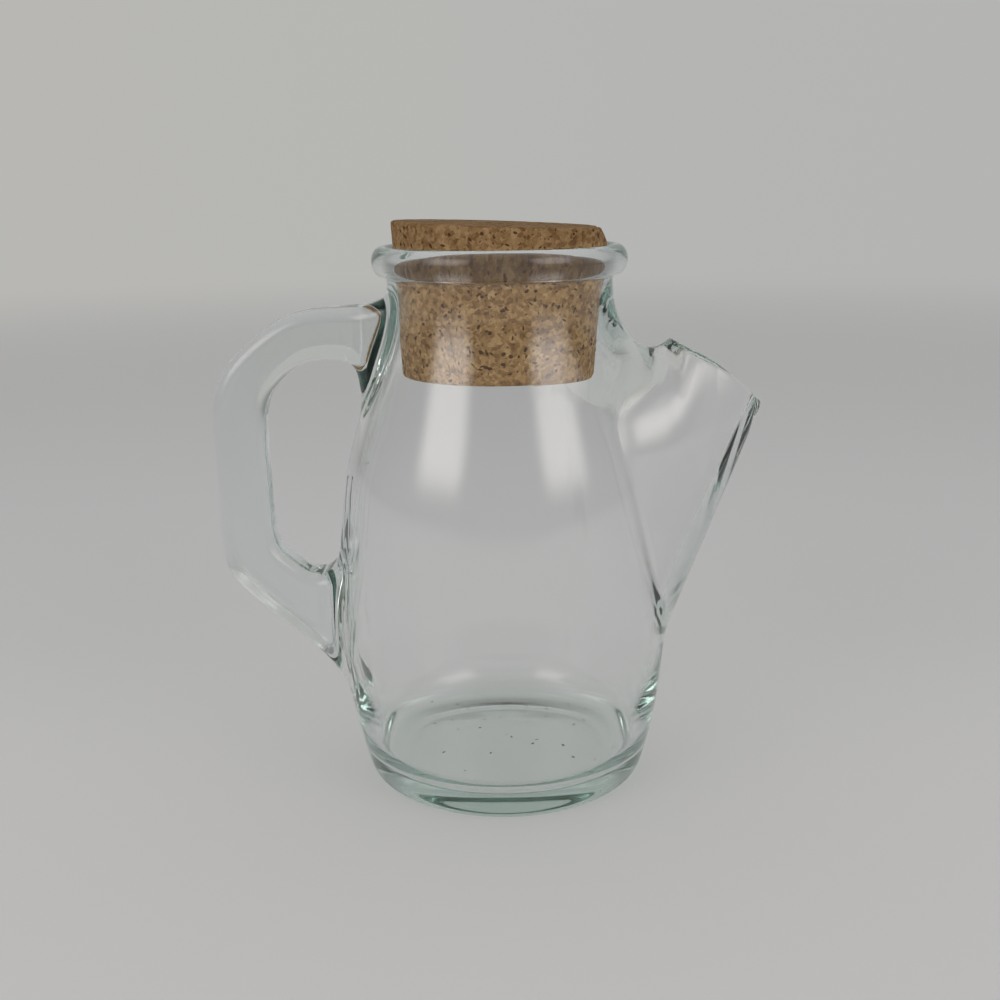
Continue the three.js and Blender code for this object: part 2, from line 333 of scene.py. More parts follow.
@dataclass
class SpoutForm:
    """The hollow beak: a straight keel, an arched back with a saddle, and a slanting open mouth."""

    tip: tuple[float, float] = (78.3, 114.8)
    keel_foot: tuple[float, float] = (50.8, 45.5)
    keel_wall: float = 5.2
    side_wall: float = 4.0
    tip_wall: float = 2.0
    least_half: float = 0.4
    lip_round: float = 1.6
    widest_z: float = 103.0
    lowest: float = 20.0
    start: float = 10.0
    widest_share: float = 0.42
    ridge: Line = field(default_factory=lambda: Line([
        (0, 131.2), (34, 130.8), (41, 130.0), (44.6, 130.3), (48.1, 132.0), (50.8, 134.5), (54, 137.0),
        (60, 139.5), (80, 140),
    ]))
    under_ridge: Line = field(default_factory=lambda: Line([
        (0, 127.4), (34, 128.2), (44, 128.8), (48, 129.8), (51, 132.0), (53.2, 136.0), (56, 141),
        (60, 146), (80, 150),
    ]))
    half_width: Line = field(default_factory=lambda: Line([
        (0, 29.5), (30, 29.2), (36, 28.7), (42, 27.0), (48, 24.0), (54, 20.0), (60, 15.8), (66, 11.6),
        (72, 7.4), (75.5, 4.9), (78.3, 2.6), (80, 1.2),
    ]))
    mouth: Line = field(default_factory=lambda: Line([
        (44, 138.4), (50.8, 134.8), (57.7, 130.9), (65.3, 126.6), (69.3, 123.6), (74.6, 118.9),
        (77.7, 116.0), (80, 113.6),
    ]))

    def section(self, points: Array, low: Array, high: Array, half: Array) -> Array:
        """Give how far out a point is in the oval section over its x, as a share less one.

        Args:
            points: Rows of x, y and z.
            low: Height of the section's lowest point.
            high: Height of its highest point.
            half: Its half width.

        Returns:
            A field that is zero on the section's outline.
        """
        x, y, z = points.T
        keel = self.keel(x)
        wide = np.maximum(self.widest_z, keel + self.widest_share * (self.ridge(x) - keel))
        up = (z - wide) / np.where(z > wide, high - wide, wide - low)
        return np.sqrt((y / half) ** 2 + up ** 2) - 1

    def keel(self, x: Array) -> Array:
        """Give the height of the keel line under x; it stays within the body."""
        rise = (self.tip[1] - self.keel_foot[1]) / (self.tip[0] - self.keel_foot[0])
        return np.maximum(self.keel_foot[1] + rise * (x - self.keel_foot[0]), self.lowest)

    def distance(self, share: Callable[[Array], Array], points: Array) -> Array:
        """Turn a share field into a distance by its own slope.

        Args:
            share: A function of points, zero on the surface.
            points: Rows of x, y and z.

        Returns:
            Signed distances near the surface, and a large value behind the start of the spout.
        """
        result = np.full(len(points), FAR)
        near = points[:, 0] > self.start - 1
        result[near] = self.scaled(share, points[near])
        return result

    @staticmethod
    def scaled(share: Callable[[Array], Array], points: Array) -> Array:
        """Divide a share field by its slope; the arguments are those of distance."""
        step, flattest = 0.05, 1e-3
        value = share(points)
        slope = np.zeros_like(value)
        for axis in range(3):
            shifted = points.copy()
            shifted[:, axis] += step
            slope += ((share(shifted) - value) / step) ** 2
        return value / np.maximum(np.sqrt(slope), flattest)

    def oval(self, back: Line, side_wall: float = 0.0,
             keel_wall: float = 0.0) -> Callable[[Array], Array]:
        """Make the share field of the spout's outline, or of its hollow.

        Args:
            back: Height of its back over x.
            side_wall: How far its sides lie within the spout's.
            keel_wall: How far its keel lies behind the spout's.

        Returns:
            A function of points, zero on the surface.
        """
        def share(at: Array) -> Array:
            """Give the share field at points."""
            x = at[:, 0]
            half = np.maximum(self.half_width(x) - side_wall, self.least_half)
            return self.section(at, self.keel(x + keel_wall), back(x), half)
        return share

    def outer(self, points: Array) -> Array:
        """Give the field of the beak as if it were solid, cut by its mouth."""
        x, z = points[:, 0], points[:, 2]
        height, slope = self.mouth.both(x)
        lid = (z - height) / np.sqrt(1 + slope ** 2)
        beak = smooth_max(self.distance(self.oval(self.ridge), points), lid, self.lip_round)
        return np.maximum(np.maximum(beak, x - self.tip[0]), self.start - x)

    def inner(self, points: Array) -> Array:
        """Give the field of the beak's hollow, open through the mouth."""
        hollow = self.oval(self.under_ridge, self.side_wall, self.keel_wall)
        end = self.tip[0] - self.tip_wall
        x = points[:, 0]
        return np.maximum(np.maximum(self.distance(hollow, points), x - end), self.start - x)


class Edge:
    """One edge of the handle in the plane y = 0, as a smooth curve."""

    def __init__(self, places: list[tuple[float, float]], outward: float) -> None:
        """Fit the curve.

        Args:
            places: (x, z) pairs along the edge.
            outward: 1 where the air is on the curve's left, and -1 where it is on its right.
        """
        knots = np.array(places, float)
        along = np.concatenate([[0.0], np.cumsum(np.hypot(*np.diff(knots, axis=0).T))])
        self.x, self.z = (Line(list(zip(along, column))) for column in knots.T)
        self.outward = outward
        guesses = 2 * int(along[-1]) // 3  # one to about 1.5 mm
        self.guess = np.linspace(0, along[-1], guesses)
        self.guess_x, self.guess_z = self.x(self.guess), self.z(self.guess)

    def distance(self, flat: Array) -> Array:
        """Give the signed way of (x, z) points to the edge, positive on the air's side."""
        away = (flat[:, :1] - self.guess_x) ** 2 + (flat[:, 1:] - self.guess_z) ** 2
        start = self.guess[away.argmin(1)]
        at, most, rounds = start, self.guess[1], 3
        for _ in range(rounds):
            x, dx, z, dz, ahead = self.compare(flat, at)
            at = np.clip(at + ahead / (dx ** 2 + dz ** 2), start - most, start + most)
            at = np.clip(at, 0, self.guess[-1])
        x, dx, z, dz, _ = self.compare(flat, at)
        side = dx * (flat[:, 1] - z) - dz * (flat[:, 0] - x)
        return self.outward * side / np.hypot(dx, dz)

    def compare(self, flat: Array, at: Array) -> tuple[Array, Array, Array, Array, Array]:
        """Give the curve's place and slope, and how far ahead along it each point lies."""
        x, dx = self.x.both(at)
        z, dz = self.z.both(at)
        return x, dx, z, dz, (flat[:, 0] - x) * dx + (flat[:, 1] - z) * dz


@dataclass
class HandleForm:
    """The solid bar, given by its outer and inner edge in the plane y = 0 and its width along y."""

    width: float = 14.0
    corner: float = 4.2
    reach_x: float = -27.0
    reach_y: float = 20.0
    reach_z: tuple[float, float] = (16.0, 155.0)
    middle_z: float = 100.0
    outer_edge: Edge = field(default_factory=lambda: Edge([
        (-26, 151), (-35.2, 147.8), (-38.8, 146.5), (-43.5, 145.9), (-49, 145.6), (-55, 145.3),
        (-61.5, 143.9), (-68.5, 140.4), (-76, 134.6), (-82.2, 127.8), (-85.6, 119.6), (-86.55, 110.5),
        (-86.45, 101.9), (-86.35, 89.3), (-86.5, 77.5), (-85.5, 69.4), (-82.6, 62.4), (-77.5, 56.9),
        (-71.5, 51.4), (-65.5, 46.6), (-60, 41.8), (-54.5, 36.6), (-49.4, 30.6), (-44, 22),
    ], -1))
    inner_edge: Edge = field(default_factory=lambda: Edge([
        (-37.5, 106), (-40.2, 114), (-42.0, 122.5), (-44.2, 128.6), (-48.8, 130.2), (-54.5, 130),
        (-58.8, 129), (-62.5, 126.9), (-66.3, 123.4), (-69, 119.8), (-70.6, 114.6), (-71.1, 108.6),
        (-71.2, 102), (-70.8, 89.3), (-70.2, 77.5), (-69.3, 74.2), (-67.2, 71.1), (-64, 68.2),
        (-60.6, 65.8), (-57, 64.7), (-53.2, 65.8), (-50.6, 68.6), (-48.6, 74), (-46.5, 84),
    ], 1))
    upper_share: Line = field(default_factory=lambda: Line([
        (-60, 1.0), (-49, 1.0), (-43.5, 1.04), (-40, 1.16), (-36, 1.4), (-30, 1.6),
    ]))
    lower_share: Line = field(default_factory=lambda: Line([
        (-90, 1.0), (-71, 1.0), (-61, 1.04), (-56.6, 1.12), (-52.5, 1.3), (-48.5, 1.6), (-40, 1.9),
    ]))

    def outer(self, points: Array) -> Array:
        """Give the field of the bar, and a large value at points beyond its reach."""
        result = np.full(len(points), FAR)
        x, y, z = points.T
        low, high = self.reach_z
        near = np.flatnonzero((x < self.reach_x) & (np.abs(y) < self.reach_y) & (z > low) & (z < high))
        chunk = 40000
        for start in range(0, len(near), chunk):
            rows = near[start:start + chunk]
            result[rows] = self.measure(points[rows])
        return result

    def measure(self, points: Array) -> Array:
        """Give the field of the bar for points near it."""
        x, y, z = points.T
        flat = points[:, [0, 2]]
        share = np.where(z > self.middle_z, self.upper_share(x), self.lower_share(x))
        u = np.maximum(self.outer_edge.distance(flat), self.inner_edge.distance(flat)) + self.corner
        v = np.abs(y) - (np.maximum(share, 1) * self.width / 2 - self.corner)
        outside = np.hypot(np.maximum(u, 0), np.maximum(v, 0))
        return outside + np.minimum(np.maximum(u, v), 0) - self.corner


@dataclass(frozen=True)
class Sink:
    """A dimple inside the wall, where the glass was drawn out into a root of the handle."""

    centre: tuple[float, float, float]
    radii: tuple[float, float, float]

    def air(self, points: Array) -> Array:
        """Give the dimple's field at points."""
        radii, flattest = np.array(self.radii), 1e-6
        away = (points - np.array(self.centre)) / radii
        share = np.linalg.norm(away, axis=1) + TINY
        return share * (share - 1) / np.maximum(np.linalg.norm(away / radii, axis=1), flattest)


@dataclass
class GlassForm:
    """All of the glass as one field."""

    body: BodyForm = field(default_factory=BodyForm)
    spout: SpoutForm = field(default_factory=SpoutForm)
    handle: HandleForm = field(default_factory=HandleForm)
    sink: Sink = Sink((-43.4, 0, 45.5), (7.2, 10.0, 18.5))
    crease: float = 2.4
    saddle: float = 26.0
    inner_crease: float = 2.0
    inner_saddle: float = 16.0
    saddle_from: float = 114.0
    saddle_to: float = 131.0
    root: float = 4.5
    sink_edge: float = 6.0
    edge: float = 2.2

    def blend(self, points: Array, crease: float, saddle: float) -> Array:
        """Widen a fillet from the creases at the spout's sides to the saddle over it."""
        lift = np.clip((points[:, 2] - self.saddle_from) / (self.saddle_to - self.saddle_from), 0, 1)
        return crease + (saddle - crease) * lift * lift * (3 - 2 * lift)

    def hollow(self, points: Array) -> Array:
        """Give the field of all the air inside."""
        width = self.blend(points, self.inner_crease, self.inner_saddle)
        inside = smooth_min(self.body.inner(points), self.spout.inner(points), width)
        return smooth_min(inside, self.sink.air(points), self.sink_edge)

    def __call__(self, points: Array) -> Array:
        """Give the signed distance of points to the glass.

        Args:
            points: Rows of x, y and z, in millimetres.

        Returns:
            Signed distances, negative in the glass.
        """
        width = self.blend(points, self.crease, self.saddle)
        outer = smooth_min(self.body.outer(points), self.spout.outer(points), width)
        outer = smooth_min(outer, self.handle.outer(points), self.root)
        return smooth_max(outer, -self.hollow(points), self.edge)


# Meshing

class SurfaceMesher:
    """Turns a signed field into a closed mesh whose vertices lie on the exact surface."""

    def __init__(self, shape: Callable[[Array], Array], low: Array, high: Array, cell: float) -> None:
        """Keep what is meshed.

        Args:
            shape: Function from points to signed distances.
            low: Lowest corner of the space, in millimetres.
            high: Highest corner.
            cell: Edge of a grid cell.
        """
        self.shape, self.cell, self.block = shape, cell, 4
        self.low = np.array(low, float)
        blocks = np.ceil((np.array(high, float) - self.low) / (cell * self.block)).astype(int)
        self.blocks = tuple(blocks)
        self.count = blocks * self.block

    def evaluate(self, points: Array) -> Array:
        """Give the field at many points, a chunk at a time."""
        chunk = 150000
        parts = [self.shape(points[i:i + chunk]) for i in range(0, len(points), chunk)]
        return np.concatenate(parts)

    def sample(self) -> Array:
        """Give the field on the grid: exact near the surface, and only its sign elsewhere."""
        size = self.cell * self.block
        middle = np.argwhere(np.ones(self.blocks, bool)) * size + self.low + (size - self.cell) / 2
        rough = self.evaluate(middle).reshape(self.blocks)
        blocks_reached = 1.35
        near = np.abs(rough) < blocks_reached * size
        values, exact = rough, near
        for axis in range(3):
            values = np.repeat(values, self.block, axis)
            exact = np.repeat(exact, self.block, axis)
        places = np.argwhere(exact) * self.cell + self.low
        values[exact] = self.evaluate(places)
        return values

    def net(self) -> tuple[Array, Array]:
        """Put one vertex in each cell that the surface crosses, and one quad over each crossed edge.

        Returns:
            Vertices in millimetres and quads of vertex numbers, facing outwards.
        """
        values = self.sample()
        cells = tuple(self.count - 1)
        total, hits = np.zeros((*cells, 3)), np.zeros(cells)
        crossings = [self.crossing(values, axis) for axis in range(3)]
        for axis, where, share, _ in crossings:
            point = where.astype(float)
            point[:, axis] += share
            for cell in self.around(axis, where):
                valid = ((cell >= 0) & (cell < np.array(cells))).all(1)
                keys = tuple(cell[valid].T)
                np.add.at(total, keys, point[valid])
                np.add.at(hits, keys, 1)
        used = hits > 0
        number = np.full(cells, -1)
        number[used] = np.arange(used.sum())
        vertices = total[used] / hits[used][:, None] * self.cell + self.low
        quads = []
        for axis, where, _, outward in crossings:
            quad = np.stack([number[tuple(cell.T)] for cell in self.around(axis, where)], 1)
            quad[~outward] = quad[~outward][:, ::-1]
            quads.append(quad)
        return vertices, np.concatenate(quads)

    @staticmethod
    def crossing(values: Array, axis: int) -> tuple[int, Array, Array, Array]:
        """Find the grid edges along an axis that the surface crosses.

        Args:
            values: The field on the grid.
            axis: Which axis the edges run along.

        Returns:
            The axis, the edges' first points, the share of each edge before the surface crosses it, and
            whether the glass is left there.
        """
        first, second = [slice(None)] * 3, [slice(None)] * 3
        first[axis], second[axis] = slice(0, -1), slice(1, None)
        a, b = values[tuple(first)], values[tuple(second)]
        crossed = (a < 0) != (b < 0)
        return axis, np.argwhere(crossed), a[crossed] / (a[crossed] - b[crossed]), a[crossed] < 0

    @staticmethod
    def around(axis: int, where: Array) -> list[Array]:
        """Give the four cells around each edge, in turning order."""
        u, v = (axis + 1) % 3, (axis + 2) % 3
        cells = []
        for du, dv in ((0, 0), (1, 0), (1, 1), (0, 1)):
            cell = where.copy()
            cell[:, u] -= du
            cell[:, v] -= dv
            cells.append(cell)
        return cells

    def press(self, vertices: Array, rounds: int) -> Array:
        """Move vertices along the field's slope onto the surface."""
        step, flattest, most = 0.02, 0.05, 0.5 * self.cell
        for _ in range(rounds):
            value = self.evaluate(vertices)
            ahead = np.stack([self.evaluate(vertices + step * way) for way in np.eye(3)], 1)
            slope = (ahead - value[:, None]) / step
            move = -(value / np.maximum((slope ** 2).sum(1), flattest))[:, None] * slope
            size = np.linalg.norm(move, axis=1, keepdims=True)
            vertices = vertices + move * np.minimum(1, most / np.maximum(size, TINY))
        return vertices

    def normals(self, vertices: Array) -> Array:
        """Give the surface's normals at vertices that lie on it."""
        steps = 0.03 * np.eye(3)
        slope = np.stack([
            self.evaluate(vertices + step) - self.evaluate(vertices - step) for step in steps
        ], 1)
        return slope / np.linalg.norm(slope, axis=1, keepdims=True)

    @staticmethod
    def relax(vertices: Array, quads: Array) -> Array:
        """Even out the quads by moving each vertex halfway to the mean of its neighbours."""
        pairs = np.concatenate([quads[:, [i, (i + 1) % 4]] for i in range(4)])
        count = len(vertices)
        total = np.stack([
            np.bincount(pairs[:, 0], vertices[pairs[:, 1], i], count)
            + np.bincount(pairs[:, 1], vertices[pairs[:, 0], i], count) for i in range(3)
        ], 1)
        hits = np.bincount(pairs[:, 0], minlength=count) + np.bincount(pairs[:, 1], minlength=count)
        return (vertices + total / hits[:, None]) / 2

    def build(self, name: str, most_triangles: int) -> bpy.types.Object:
        """Mesh the field, thin the flat stretches out and set exact normals.

        Args:
            name: The piece's name.
            most_triangles: How many triangles the piece may have.

        Returns:
            The finished object.
        """
        vertices, quads = self.net()
        evenings = 2
        for _ in range(evenings):
            vertices = self.press(self.relax(vertices, quads), 1)
        piece = make_object(name, vertices, quads)
        share = most_triangles / (2 * len(quads))
        if share < 1:
            thinning = piece.modifiers.new("thinning", "DECIMATE")
            thinning.ratio = share
            bake_modifiers(piece)
        mesh = piece.data
        flat = np.empty(3 * len(mesh.vertices), np.float32)
        mesh.vertices.foreach_get("co", flat)
        vertices = self.press(flat.reshape(-1, 3) / MM, 2)
        mesh.vertices.foreach_set("co", (vertices * MM).astype(np.float32).ravel())
        mesh.update()
        mesh.shade_smooth()
        mesh.normals_split_custom_set_from_vertices(self.normals(vertices).tolist())
        return piece


def bake_modifiers(piece: bpy.types.Object) -> None:
    """Replace a piece's mesh by what its modifiers make of it, and take them off."""
    graph = bpy.context.evaluated_depsgraph_get()
    made = bpy.data.meshes.new_from_object(piece.evaluated_get(graph), depsgraph=graph)
    piece.modifiers.clear()
    old, piece.data = piece.data, made
    name = old.name
    bpy.data.meshes.remove(old)
    made.name = name


def make_object(name: str, vertices: Array, faces: Array | list[list[int]]) -> bpy.types.Object:
    """Write a mesh in metres and link its object.

    Args:
        name: The piece's name.
        vertices: Rows of x, y and z, in millimetres.
        faces: Rows of vertex numbers.

    Returns:
        The object, at the origin.
    """
    mesh = bpy.data.meshes.new(name)
    rows = faces.tolist() if isinstance(faces, np.ndarray) else faces
    mesh.from_pydata((vertices * MM).tolist(), [], rows)
    mesh.shade_smooth()
    thing = bpy.data.objects.new(name, mesh)
    bpy.context.scene.collection.objects.link(thing)
    return thing


# Finishes

@dataclass(frozen=True)
class Finish(ABC):
    """What a piece's surface is made of."""

    name: str

    def material(self) -> bpy.types.Material:
        """Build the material."""
        made = bpy.data.materials.new(self.name)
        tree = empty_tree(made)
        add_node(tree, "ShaderNodeOutputMaterial", self.shaders(tree))
        return made

    @abstractmethod
    def shaders(self, tree: Tree) -> dict[str, Socket]:
        """Add the finish's nodes.

        Args:
            tree: The material's node tree.

        Returns:
            Its shaders' sockets, by the input of the material output that each goes to.
        """


@dataclass(frozen=True)
class SodaLimeGlass(Finish):
    """Moulded soda-lime glass: clear, faintly grey-green where the light's way in it is long."""

    name: str = "soda_lime_glass"
    tint: tuple[float, float, float] = (0.5, 0.68, 0.63)
    density: float = 13.0
    ior: float = 1.52
    roughness: float = 0.012
    clear: tuple[float, float, float] = (0.955, 0.962, 0.958)
    ripple_mm: float = 26.0
    ripple_depth_mm: float = 0.04

    def shaders(self, tree: Tree) -> dict[str, Socket]:
        """Add rippled glass; lamps shine through it onto what stands behind."""
        place = add_node(tree, "ShaderNodeTexCoord").outputs["Object"]
        ripple = noise(tree, place, self.ripple_mm, detail=1.0, roughness=0.4)
        bump = add_node(tree, "ShaderNodeBump", {
            "Height": ripple.outputs["Fac"], "Strength": 1.0, "Distance": self.ripple_depth_mm * MM,
        })
        glass = add_node(tree, "ShaderNodeBsdfPrincipled", {
            "Base Color": (1, 1, 1, 1), "Roughness": self.roughness, "IOR": self.ior,
            "Transmission Weight": 1.0, "Normal": bump.outputs["Normal"],
        })
        way = add_node(tree, "ShaderNodeLightPath").outputs
        lit = arithmetic(tree, "MAXIMUM", way["Is Shadow Ray"], way["Is Diffuse Ray"])
        through = add_node(tree, "ShaderNodeBsdfTransparent", {"Color": (*self.clear, 1)})
        surface = add_node(tree, "ShaderNodeMixShader", {
            0: lit, 1: glass.outputs["BSDF"], 2: through.outputs["BSDF"],
        })
        depth = add_node(tree, "ShaderNodeVolumeAbsorption", {
            "Color": (*self.tint, 1), "Density": self.density,
        })
        return {"Surface": surface.outputs["Shader"], "Volume": depth.outputs["Volume"]}


class CorkTone(Enum):
    """Colours of agglomerated cork, as sRGB hex."""

    PALE = "d3b184"
    TAN = "bc9766"
    BROWN = "98744a"
    DEEP = "6f4e2f"
    # dark bark; also the colour of the painted shade in the cork's rim ring and over its top
    BARK_AND_SHADE = "33221a"

    @property
    def rgba(self) -> Colour:
        """Give the tone as linear RGBA."""
        return linear(self.value)


@dataclass(frozen=True)
class AgglomeratedCork(Finish):
    """Ground cork pressed with a binder: small tan and brown granules with dark bark flecks."""

    name: str = "agglomerated_cork"
    granule_mm: float = 1.15
    wander_mm: float = 0.8
    spread_mm: float = 0.6
    blotch_mm: float = 5.0
    blotch_share: float = 0.6
    tones: tuple[tuple[float, CorkTone], ...] = (
        (0.14, CorkTone.DEEP), (0.36, CorkTone.BROWN), (0.6, CorkTone.TAN), (0.86, CorkTone.PALE),
    )
    grain_mm: float = 0.45
    grain_share: float = 0.6
    fleck_mm: float = 0.9
    fleck_span: tuple[float, float] = (0.61, 0.68)
    fleck_dark: float = 0.85
    bump_mm: float = 0.3
    wave_mm: float = 7.0
    # painted shade: a dark ring where the rim bead shades the cork, and a darker top
    rim_shade_z_mm: tuple[float, float] = (152.5, 164.0)
    rim_shade_fade: tuple[float, float] = (0.25, 1.1)
    rim_shade_darkness: float = 0.62
    top_shade_z_mm: tuple[float, float] = (162.0, 164.5)
    top_shade_darkness: float = 0.3

    def granules(self, tree: Tree, place: Socket) -> Socket:
        """Give each granule a tone of its own, with uneven outlines."""
        wander = noise(tree, place, self.wander_mm, detail=3.0)
        bent = vector_step(tree, "MULTIPLY", wander.outputs["Color"], (self.spread_mm * MM,) * 3)
        granule = add_node(tree, "ShaderNodeTexVoronoi", {
            "Vector": vector_step(tree, "ADD", place, bent), "Scale": 1 / (self.granule_mm * MM),
            "Randomness": 1.0,
        })
        tone = add_node(tree, "ShaderNodeSeparateColor", {"Color": granule.outputs["Color"]})
        blotch = noise(tree, place, self.blotch_mm, detail=2.0)
        mixed = add_node(tree, "ShaderNodeMix", {
            0: self.blotch_share, 2: tone.outputs["Red"], 3: blotch.outputs["Fac"],
        })
        ramp = add_node(tree, "ShaderNodeValToRGB", {"Fac": mixed.outputs[0]})
        stops = ramp.color_ramp.elements
        first, *between, last = self.tones
        for stop, (position, colour) in zip(stops, (first, last)):
            stop.position, stop.color = position, colour.rgba
        for position, colour in between:
            stops.new(position).color = colour.rgba
        return ramp.outputs["Color"]

    def painted_rim_shade(self, tree: Tree, place: Socket) -> Socket:
        """Give how much painted shade darkens it: most in the ring that the rim bead holds, less over the
        top.
        """
        low, high = (height * MM for height in self.rim_shade_z_mm)
        middle, half = (low + high) / 2, (high - low) / 2
        z = add_node(tree, "ShaderNodeSeparateXYZ", {0: place}).outputs["Z"]
        wave = noise(tree, place, self.wave_mm, detail=2.0)
        shift = arithmetic(tree, "MULTIPLY_ADD", wave.outputs["Fac"], half, z)
        away = arithmetic(tree, "ABSOLUTE", arithmetic(tree, "SUBTRACT", shift, middle + half / 2))
        fade_from, fade_to = (share * half for share in self.rim_shade_fade)
        ring = soft_step(tree, away, (fade_from, fade_to), (self.rim_shade_darkness, 0.0))
        top_shade_from, top_shade_to = (height * MM for height in self.top_shade_z_mm)
        above = soft_step(tree, z, (top_shade_from, top_shade_to), (0.0, self.top_shade_darkness))
        return arithmetic(tree, "MAXIMUM", ring, above)

    def shaders(self, tree: Tree) -> dict[str, Socket]:
        """Add granules with a fine grain, bark flecks and the painted shade of the rim bead and the top.
        """
        place = add_node(tree, "ShaderNodeTexCoord").outputs["Object"]
        grain = noise(tree, place, self.grain_mm, detail=4.0).outputs["Fac"]
        grained = mix_colours(tree, self.grain_share, self.granules(tree, place), grain, "OVERLAY")
        fleck = noise(tree, place, self.fleck_mm, detail=3.0)
        start, end = self.fleck_span
        dark = add_node(tree, "ShaderNodeMapRange", {
            "Value": fleck.outputs["Fac"], "From Min": start, "From Max": end, "To Max": self.fleck_dark,
        }).outputs["Result"]
        flecked = mix_colours(tree, dark, grained, CorkTone.BARK_AND_SHADE.rgba)
        # painted shade of the rim bead and over the top, in the bark colour
        rim_shaded = mix_colours(tree, self.painted_rim_shade(tree, place), flecked, CorkTone.BARK_AND_SHADE.rgba)
        bump = add_node(tree, "ShaderNodeBump", {
            "Height": arithmetic(tree, "SUBTRACT", grain, dark), "Strength": 0.8,
            "Distance": self.bump_mm * MM,
        })
        shader = add_node(tree, "ShaderNodeBsdfPrincipled", {
            "Base Color": rim_shaded, "Roughness": 0.9, "Specular IOR Level": 0.25,
            "Normal": bump.outputs["Normal"],
        })
        return {"Surface": shader.outputs["BSDF"]}


@dataclass(frozen=True)
class CorkBark(Finish):
    """Dark crumbs of cork bark, rough and nearly black-brown."""

    name: str = "cork_bark"
    grain_mm: float = 0.3

    def shaders(self, tree: Tree) -> dict[str, Socket]:
        """Add rough bark, mottled between two dark browns."""
        place = add_node(tree, "ShaderNodeTexCoord").outputs["Object"]
        grain = noise(tree, place, self.grain_mm, detail=3.0, roughness=0.5)
        colour = mix_colours(tree, grain.outputs["Fac"], CorkTone.BARK_AND_SHADE.rgba, CorkTone.DEEP.rgba)
        shader = add_node(tree, "ShaderNodeBsdfPrincipled", {
            "Base Color": colour, "Roughness": 0.92, "Specular IOR Level": 0.2,
        })
        return {"Surface": shader.outputs["BSDF"]}


@dataclass(frozen=True)
class StudioAir:
    """Even haze of the studio, with the dimmer room in front of the object and to both sides."""

    name: str = "studio_air"
    left: str = "b8b7b4"
    right: str = "b4b5b3"
    room: str = "818180"
    across: tuple[float, float] = (-0.45, 0.45)
    front: tuple[float, float] = (0.1, -0.75)
    aside: tuple[float, float] = (0.45, 0.85)
    strength: float = 1.0

    def colour(self, tree: Tree, place: Socket) -> Socket:
        """Blend the two colours across x, and the room's colour in to both sides and towards -y.

        Args:
            tree: The node tree that takes the nodes.
            place: A direction or a point seen from the object.

        Returns:
            The colour socket.
        """
        way = vector_step(tree, "NORMALIZE", place)
        part = add_node(tree, "ShaderNodeSeparateXYZ", {0: way}).outputs
        share = soft_step(tree, part["X"], self.across)
        sides = mix_colours(tree, share, linear(self.left), linear(self.right))
        front = soft_step(tree, part["Y"], self.front)
        aside = soft_step(tree, arithmetic(tree, "ABSOLUTE", part["X"]), self.aside)
        return mix_colours(tree, arithmetic(tree, "MAXIMUM", front, aside), sides, linear(self.room))

    def world(self) -> bpy.types.World:
        """Build the world."""
        made = bpy.data.worlds.new(self.name)
        tree = empty_tree(made)
        place = add_node(tree, "ShaderNodeTexCoord").outputs["Generated"]
        back = add_node(tree, "ShaderNodeBackground", {
            "Color": self.colour(tree, place), "Strength": self.strength,
        })
        add_node(tree, "ShaderNodeOutputWorld", {"Surface": back.outputs["Background"]})
        return made


@dataclass(frozen=True)
class PaleFloor(Finish):
    """Matt pale paint of the studio floor which, far from the object, turns into a painted glow in the
    studio's air colours.
    """

    name: str = "pale_floor_paint"
    colour: str = "f2f3f5"
    fade_m: tuple[float, float] = (0.5, 2.3)
    air: StudioAir = field(default_factory=StudioAir)

    def shaders(self, tree: Tree) -> dict[str, Socket]:
        """Add the paint and, further out, a painted glow in the air's colour."""
        place = add_node(tree, "ShaderNodeTexCoord").outputs["Object"]
        radius = add_node(tree, "ShaderNodeVectorMath", {0: place}, operation="LENGTH")
        paint = add_node(tree, "ShaderNodeBsdfPrincipled", {
            "Base Color": linear(self.colour), "Roughness": 0.9, "Specular IOR Level": 0.2,
        })
        # painted light: beyond the paint the floor glows in the air's colours, dimmer to the sides and
        # front
        far_glow = add_node(tree, "ShaderNodeEmission", {
            "Color": self.air.colour(tree, place), "Strength": self.air.strength,
        })
        blend = add_node(tree, "ShaderNodeMixShader", {
            0: soft_step(tree, radius.outputs["Value"], self.fade_m), 1: paint.outputs["BSDF"],
            2: far_glow.outputs["Emission"],
        })
        return {"Surface": blend.outputs["Shader"]}


# Scattered chips

